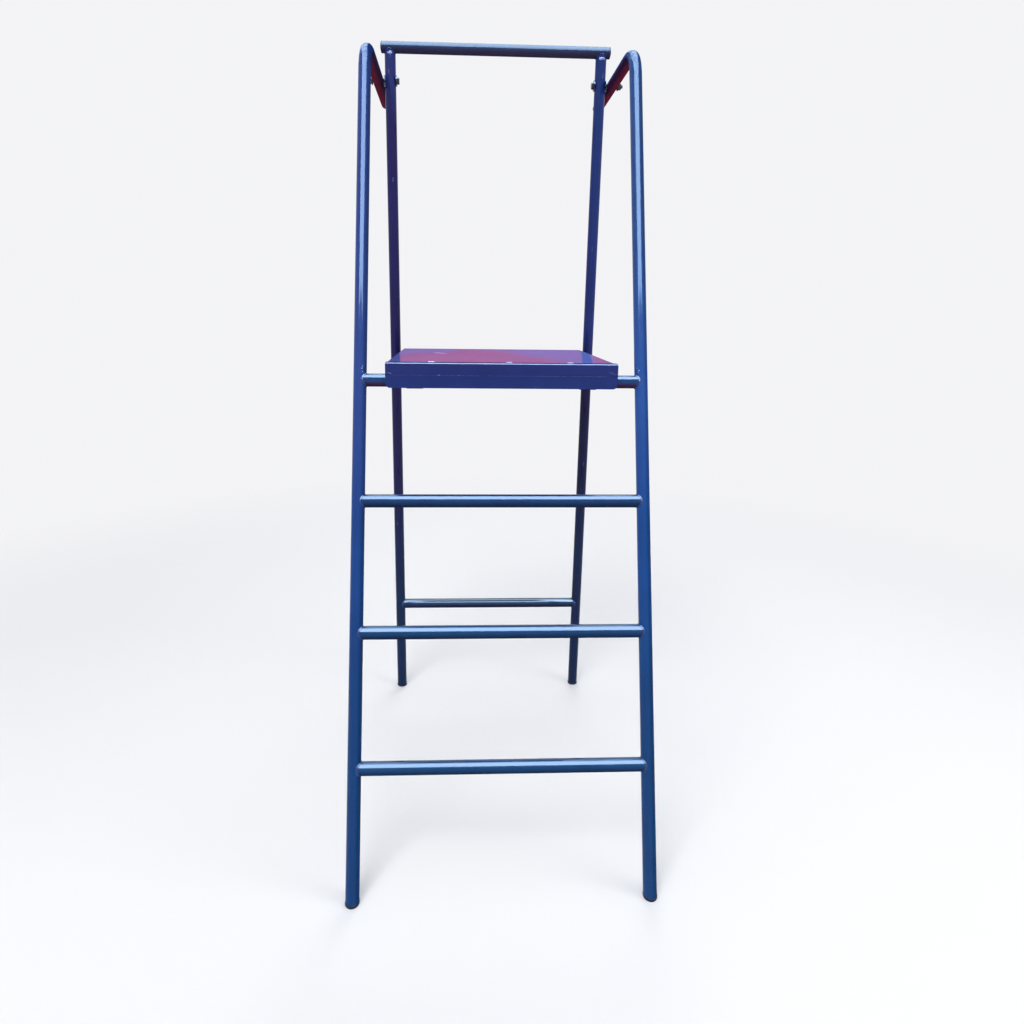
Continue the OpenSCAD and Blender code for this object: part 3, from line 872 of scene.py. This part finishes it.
lumps = {  # weld heaped up in front of the top bar's joints: width, height, place under the bar, dabs
    "left": (0.009, 0.003, 0.0176, 8),
    "right": (0.012, 0.004, 0.0200, 12),
    "dab": (0.0040, 0.0034, 0.0022),
    "along": (0.6, 1),  # ways the dabs lie, across the upright and up it
    "slope": (-0.5, 0.5),
    "voxel": 0.0008,
    "smoothing": 16,
    "seed": 5,
}
sags = {  # runs of paint on the uprights: side, height, turn from the front in degrees, length
    "places": ((-1, 2.047, 5, 0.007), (-1, 2.004, -12, 0.011), (1, 2.008, 20, 0.012), (1, 1.52, -8, 0.010),
               (-1, 1.71, 10, 0.009), (1, 0.83, 0, 0.011), (-1, 0.62, -15, 0.010)),
    "dab": (0.0016, 0.0015, 0.0008),
    "swell": 0.0006,  # how much wider a run is at its foot
    "swellPower": 3,
    "voxel": 0.0004,
    "smoothing": 3,
    "seed": 8,
}
chips = {  # bare spots on the stiles by the seat rung: side, height over the rung, turn, half size
    "places": ((-1, 0.031, 30, 0.0008), (-1, 0.025, 24, 0.0011), (-1, 0.017, 31, 0.0008),
               (1, 0.031, -50, 0.0008), (1, 0.026, -30, 0.0011), (1, 0.021, -38, 0.0008)),
    "dab": (0.0008, 0.0006, 0.0003),
    "dabs": 5,
    "voxel": 0.0002,
    "smoothing": 1,
    "seed": 31,
}


def onTube(x, axis, through, height, turnDegrees):  # place and outward direction on a leaning tube's skin
    centre = Vector((x, through.y, through.z))
    centre = centre + axis * ((height - centre.z) / axis.z)
    turn = math.radians(turnDegrees)
    front = axis.cross(Vector((1, 0, 0))).normalized()
    if front.y > 0:
        front = -front
    out = front * math.cos(turn) + Vector((1, 0, 0)) * math.sin(turn)
    return centre + out * tubeRadius, out


def heapWeld():
    chance = random.Random(lumps["seed"])
    bar = middle("top_bar")
    for sign, sideName in sides:
        width, height, below, count = lumps[sideName]
        seam = []
        for k in range(count):
            x = chance.uniform(-width, width) / 2
            z = bar.z - below + chance.uniform(-height, height) / 2
            turn = math.degrees(math.asin(x / tubeRadius))
            point, out = onTube(sign * uprightX, uprightAxis, bar, z, turn)
            along = Vector((chance.uniform(*lumps["along"]), 0, chance.uniform(*lumps["slope"]))).normalized()
            seam.append((point, along, out, 0.0))
        # the heaped welds take a painted highlight
        layBead(sideName + "_top_bar_lump", seam, lumps["dab"], primers["heapedWeldSheen"],
                "rear_frame", chance, lumps["voxel"], lumps["smoothing"])


def paintSags():
    chance = random.Random(sags["seed"])
    for sign, sideName in sides:
        seam = []
        for side, height, turn, length in sags["places"]:
            if side != sign:
                continue
            steps = round(length / sags["dab"][0])
            for k in range(steps + 1):
                level = height + length * (0.5 - k / steps)
                point, out = onTube(sign * uprightX, uprightAxis, middle("top_bar"), level, turn)
                widen = sags["swell"] * (k / steps) ** sags["swellPower"]
                seam.append((point + out * weld["sink"], uprightAxis, out, widen))
        layBead(sideName + "_upright_sags", seam, sags["dab"], enamels["weldEnamel"],
                "rear_frame", chance, sags["voxel"], sags["smoothing"])


def chipPaint():
    chance = random.Random(chips["seed"])
    for sign, sideName in sides:
        seam = []
        for side, above, turn, size in chips["places"]:
            if side != sign:
                continue
            for k in range(chips["dabs"]):
                level = middle("seat_rung").z + above + chance.uniform(-size, size)
                shift = math.degrees(chance.uniform(-size, size) / tubeRadius)
                point, out = onTube(sign * stileX, stileAxis, middle("seat_rung"), level, turn + shift)
                seam.append((point + out * weld["sink"], stileAxis, out, 0.0))
        layBead(sideName + "_stile_chips", seam, chips["dab"], primers["primerPaint"],
                "ladder", chance, chips["voxel"], chips["smoothing"])


heapWeld()
paintSags()
chipPaint()
print("lumps, sags and chips added")


# Threads on the bolts' tips

thread = {
    "pitch": 0.0015,
    "depth": 0.0008,
    "corners": 3,
    "steps": 40,  # round one turn
    "shank": 0.005,  # half the bolt's thickness
    "sink": 0.00025,
    "start": 0.6,  # off the nut's face, in turns
    "bareTip": 0.001,
    "merge": 1e-6,
}


def threadBolts():
    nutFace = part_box("pivot_nuts")[1].x
    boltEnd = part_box("pivot_bolts")[1].x
    turns = int((boltEnd - thread["bareTip"] - nutFace) / thread["pitch"])
    for sign, sideName in sides:
        deselectAll()
        bpy.ops.mesh.primitive_circle_add(vertices=thread["corners"], radius=thread["depth"],
                                          location=(thread["shank"] - thread["sink"], 0, 0),
                                          rotation=(math.pi / 2, 0, 0), fill_type="NGON")
        ridge = bpy.context.object
        bpy.ops.object.transform_apply(location=True, rotation=True, scale=True)
        wind = ridge.modifiers.new("wind", "SCREW")
        wind.axis = "Z"
        wind.screw_offset = thread["pitch"]
        wind.iterations = turns
        wind.steps = thread["steps"]
        wind.render_steps = thread["steps"]
        wind.use_normal_calculate = True
        bpy.ops.object.modifier_apply(modifier="wind")
        bpy.ops.object.mode_set(mode="EDIT")
        bpy.ops.mesh.select_all(action="SELECT")
        bpy.ops.mesh.remove_doubles(threshold=thread["merge"])
        bpy.ops.mesh.select_all(action="SELECT")
        bpy.ops.mesh.fill_holes(sides=thread["corners"] + 1)
        bpy.ops.mesh.select_all(action="SELECT")
        bpy.ops.mesh.normals_make_consistent(inside=False)
        bpy.ops.object.mode_set(mode="OBJECT")
        start = Vector((sign * (nutFace + thread["pitch"] * thread["start"]), pivot.y, pivot.z))
        ridge.matrix_world = Matrix.Translation(start) @ Matrix.Rotation(sign * math.pi / 2, 4, "Y")
        settle(ridge, sideName + "_bolt_thread", hardware, "ladder")


threadBolts()
print("bolts threaded")


# Foot plugs

footPlug = {
    "proud": 0.0006,  # beyond the tube's skin
    "faces": 72,
    "blank": 0.06,  # length of the round bar it is cut from
    "roundness": 0.0024,
    "roundSteps": 5,
    "lipRoundness": 0.0008,
    "lipSteps": 3,
    "shank": 0.020,
    "inset": 0.0026,
    "near": 1e-4,  # how closely faces and edges are picked by height
    "flat": 0.9,  # how level the rim's face is at least
    "outer": 0.95,  # part of the tube's radius past which an edge is on the outside
    "sharpFrom": 40,  # degrees
}


def makeFootPlug(name, node, x, axis, body):
    near = footPlug["near"]
    low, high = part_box(node)
    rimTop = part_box("left_stile" if body == "ladder" else "left_upright")[0].z
    foot = Vector((x, 0, 0))
    foot.y = (low.y + tubeRadius / axis.z) if axis.y > 0 else (high.y - tubeRadius / axis.z)
    lean = math.atan2(-axis.y, axis.z)
    deselectAll()
    bpy.ops.mesh.primitive_cylinder_add(vertices=footPlug["faces"], radius=tubeRadius + footPlug["proud"],
                                        depth=footPlug["blank"], location=foot, rotation=(lean, 0, 0))
    plug = bpy.context.object
    bpy.ops.object.transform_apply(location=True, rotation=True, scale=True)
    bpy.ops.object.mode_set(mode="EDIT")
    bpy.ops.mesh.select_all(action="SELECT")
    bpy.ops.mesh.bisect(plane_co=(0, 0, 0), plane_no=(0, 0, 1), use_fill=True, clear_inner=True)
    bpy.ops.mesh.select_all(action="SELECT")
    bpy.ops.mesh.bisect(plane_co=(0, 0, rimTop), plane_no=(0, 0, 1), use_fill=True, clear_outer=True)
    pick("faces", lambda face: face.center.z > rimTop - near and face.normal.z > footPlug["flat"])
    bpy.ops.mesh.inset(thickness=footPlug["inset"])
    bpy.ops.mesh.extrude_region_move(TRANSFORM_OT_translate={"value": axis * footPlug["shank"]})
    pick("edges", lambda edge: edgeMiddle(edge).z < near)
    bpy.ops.mesh.bevel(offset=footPlug["roundness"], segments=footPlug["roundSteps"])
    pick("edges", lambda edge: abs(edgeMiddle(edge).z - rimTop) < near
         and (edgeMiddle(edge) - foot).length > tubeRadius * footPlug["outer"])
    bpy.ops.mesh.bevel(offset=footPlug["lipRoundness"], segments=footPlug["lipSteps"])
    bpy.ops.object.mode_set(mode="OBJECT")
    bpy.ops.object.shade_smooth_by_angle(angle=math.radians(footPlug["sharpFrom"]))
    settle(plug, name, plastic, body)
    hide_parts(node)


for sign, sideName in sides:
    makeFootPlug(sideName + "_front_foot_plug", sideName + "_front_foot", sign * stileX, stileAxis, "ladder")
    makeFootPlug(sideName + "_rear_foot_plug", sideName + "_rear_foot", sign * uprightX, uprightAxis,
                 "rear_frame")
print("feet plugged")


# Floor and light

studio = {
    "floorSize": 60.0,
    "floorColour": (0.93, 0.93, 0.94),
    "pale": (0.90, 0.90, 0.925),
    "fadeFrom": 1.3,  # the floor runs into the pale background between these distances
    "fadeTo": 3.6,
    "ambient": 0.55,
    "ambientColour": (0.92, 0.95, 1.0),
}


def seenDirectly(tree):  # 1 for what the camera, a reflection or a glass sees
    seen = 0.0
    for ray in ("Is Camera Ray", "Is Glossy Ray", "Is Transmission Ray"):
        seen = tree.add("ShaderNodeLightPath", output=ray) + seen
    return seen.atMost(1.0)


def makeFloor(studio):
    deselectAll()
    bpy.ops.mesh.primitive_plane_add(size=studio["floorSize"])
    floor = bpy.context.object
    floor.name = "floor"
    material = bpy.data.materials.new("floorPaper")
    tree = Tree(material)
    place = tree.add("ShaderNodeTexCoord", output="Object")
    away = tree.add("ShaderNodeVectorMath", {"operation": "LENGTH"}, {0: place}, output="Value")
    fade = tree.rise(away, studio["fadeFrom"], studio["fadeTo"])
    paper = tree.add("ShaderNodeBsdfDiffuse", None, {"Color": (*studio["floorColour"], 1)})
    glow = tree.add("ShaderNodeEmission", None, {"Color": (*studio["pale"], 1), "Strength": 1.0})
    tree.finish(tree.mixShaders(fade * seenDirectly(tree), paper, glow))
    floor.data.materials.append(material)


def makeWorld(studio):
    world = bpy.data.worlds.new("studio")
    scene.world = world
    tree = Tree(world)
    dim = tree.add("ShaderNodeBackground", None,
                   {"Color": (*studio["ambientColour"], 1), "Strength": studio["ambient"]})
    pale = tree.add("ShaderNodeBackground", None, {"Color": (*studio["pale"], 1), "Strength": 1.0})
    mixed = tree.mixShaders(seenDirectly(tree), dim, pale)
    tree.add("ShaderNodeOutputWorld", None, {"Surface": mixed})


lamps = {
    "key": {"place": (-1.6, -3.0, 4.2), "aim": (0, 0, 1.1), "size": (2.2, 2.2), "power": 112,
            "colour": (1, 0.99, 0.97)},
    "fill": {"place": (3.2, -1.5, 2.6), "aim": (0, 0, 1.0), "size": (2.0, 2.4), "power": 40,
             "colour": (0.97, 0.98, 1)},
    "rear": {"place": (0.8, 3.4, 3.6), "aim": (0, 0, 1.2), "size": (2.4, 1.6), "power": 55,
             "colour": (1, 1, 1)},
}
skyGloss = {  # wide pale blue sheets far off that only show in the gloss
    "middle": (0, 0, 1.2),
    "distance": 9.0,
    "width": 10.5,
    "colour": (0.48, 0.70, 1.0),
    "sheets": {  # degrees up from the horizon in front and on over the top, and brightness
        "skyFront": (34.5, 48, 29.0),
        "skyHigh": (48, 64, 29.0),
        "skyTop": (64, 85, 31.0),
        "skyOver": (85, 105, 21.0),
        "skyBack": (105, 125, 9.5),
        "skyBehind": (125, 148, 2.2),
    },
}


def makeLamp(name, place, aim, size, power, colour):
    deselectAll()
    bpy.ops.object.light_add(type="AREA", location=place)
    light = bpy.context.object
    light.name = name
    light.rotation_euler = (Vector(aim) - light.location).to_track_quat("-Z", "Y").to_euler()
    light.data.shape = "RECTANGLE"
    light.data.size, light.data.size_y = size
    light.data.energy = power
    light.data.color = colour
    light.visible_camera = False
    return light


def makeSky(sky):
    distance = sky["distance"]
    for name, (low, high, brightness) in sky["sheets"].items():
        tilt = math.radians((low + high) / 2)
        place = Vector(sky["middle"]) + Vector((0, -math.cos(tilt), math.sin(tilt))) * distance
        size = (sky["width"], 2 * distance * math.tan(math.radians(high - low) / 2))
        power = brightness * math.pi * size[0] * size[1]
        makeLamp(name, place, sky["middle"], size, power, sky["colour"]).visible_diffuse = False


makeFloor(studio)
makeWorld(studio)
for name, lamp in lamps.items():
    makeLamp(name, **lamp).visible_glossy = False
makeSky(skyGloss)
print("studio lit")
